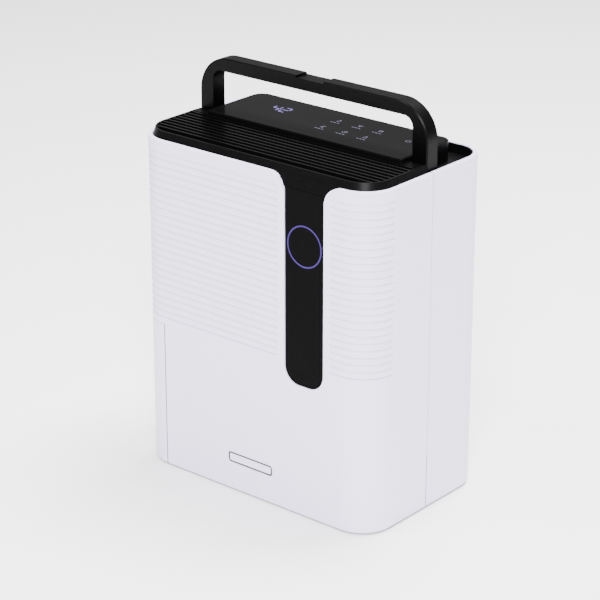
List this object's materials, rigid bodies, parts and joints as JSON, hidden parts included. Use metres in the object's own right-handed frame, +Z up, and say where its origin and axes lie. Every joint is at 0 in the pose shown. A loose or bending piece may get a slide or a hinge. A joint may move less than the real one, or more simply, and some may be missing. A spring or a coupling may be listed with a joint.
{
  "type": "dehumidifier",
  "caption": "Upright portable dehumidifier: rounded white ribbed case, top grille and touch panel, fold-down bail handle, glossy front strip with light ring, side-loading water tank.",
  "frame": {"origin": "on the floor under the middle of the overall box", "axes": "+Z up; the front with the glossy strip faces -Y; +X is the right side seen from the front; the water tank leaves towards -X"},
  "size_m": [0.305, 0.188, 0.423],
  "materials": {
    "white_casing": "fine satin moulding texture",
    "black_plastic": "matt moulded",
    "deck_black": "satin moulded",
    "grille_black": "satin moulded",
    "handle_black": "satin, slightly soft sheen",
    "panel_gloss": "polished dark touch panel",
    "strip_gloss": "polished black",
    "display": "smoked window over light segments",
    "ring_light": "clear light guide, lit violet",
    "badge": "blank plate, semi-gloss",
    "rubber": "matt",
    "tank_clear": "clear moulded, slightly smoked",
    "lid_grey": "satin moulded",
    "float_white": "satin moulded",
    "magnet": "dark ferrite",
    "bush_nylon": "natural nylon",
    "steel": "ground",
    "motor_steel": "drawn steel can",
    "galvanised": "zinc-coated sheet",
    "fins": "bare fin stock",
    "copper": "drawn copper tube",
    "duct_grey": "matt moulded",
    "wheel_grey": "matt moulded",
    "plug_grey": "matt",
    "mesh_grey": "fine woven mesh",
    "compressor_black": "semi-gloss black paint",
    "circuit_board": "solder mask",
    "capacitor": "drawn can",
    "screw_black": "black zinc"
  },
  "bodies": {
    "main": {"front_casing": "white_casing", "rear_casing": "white_casing", "base_tray": "black_plastic", "rubber_feet": "rubber", "top_deck": "deck_black", "outlet_grille": "grille_black", "panel_glass": "panel_gloss", "touch_board": "circuit_board", "display_module": "display", "front_strip": "strip_gloss", "led_ring": "ring_light", "led_board": "circuit_board", "badge_plate": "badge", "handle_pins": "steel", "fan_scroll": "duct_grey", "fan_motor": "motor_steel", "motor_bracket": "galvanised", "chassis_plate": "galvanised", "evaporator_core": "fins", "evaporator_bends": "copper", "condenser_core": "fins", "condenser_bends": "copper", "drain_pan": "duct_grey", "drain_spout": "duct_grey", "cord_gland": "black_plastic", "compressor": "compressor_black", "compressor_grommets": "rubber", "accumulator": "compressor_black", "suction_pipe": "copper", "discharge_pipe": "copper", "control_box": "duct_grey", "control_board": "circuit_board", "run_capacitor": "capacitor", "tank_switch": "black_plastic", "deck_screws": "screw_black"},
    "carry_handle": {"handle": "handle_black", "handle_bushes": "bush_nylon"},
    "tank": {"water_tank": "tank_clear", "tank_cover": "white_casing", "tank_lid": "lid_grey"},
    "float": {"float_arm": "float_white", "float_magnet": "magnet"},
    "filter": {"filter_frame": "white_casing", "filter_mesh": "mesh_grey"},
    "blower": {"blower_wheel": "wheel_grey", "motor_shaft": "steel"},
    "plug": {"drain_plug": "plug_grey"}
  },
  "joints": [
    {"name": "handle_fold", "type": "hinge", "parent": "main", "child": "carry_handle", "pos_m": [0, 0.01485, 0.35065], "axis": [-1, 0, 0], "range_deg": [0, 90]},
    {"name": "tank_slide", "type": "slide", "parent": "main", "child": "tank", "axis": [-1, 0, 0], "range_m": [0, 0.16]},
    {"name": "float_swing", "type": "hinge", "parent": "tank", "child": "float", "pos_m": [0.0088, 0, 0.116], "axis": [0, 1, 0], "range_deg": [0, 15]},
    {"name": "filter_pull", "type": "slide", "parent": "main", "child": "filter", "axis": [0, 1, 0], "range_m": [0, 0.04]},
    {"name": "blower_spin", "type": "hinge", "parent": "main", "child": "blower", "pos_m": [-0.028, 0, 0.243], "axis": [0, 1, 0], "continuous": true},
    {"name": "plug_pull", "type": "slide", "parent": "main", "child": "plug", "axis": [0, 1, 0], "range_m": [0, 0.016]}
  ]
}
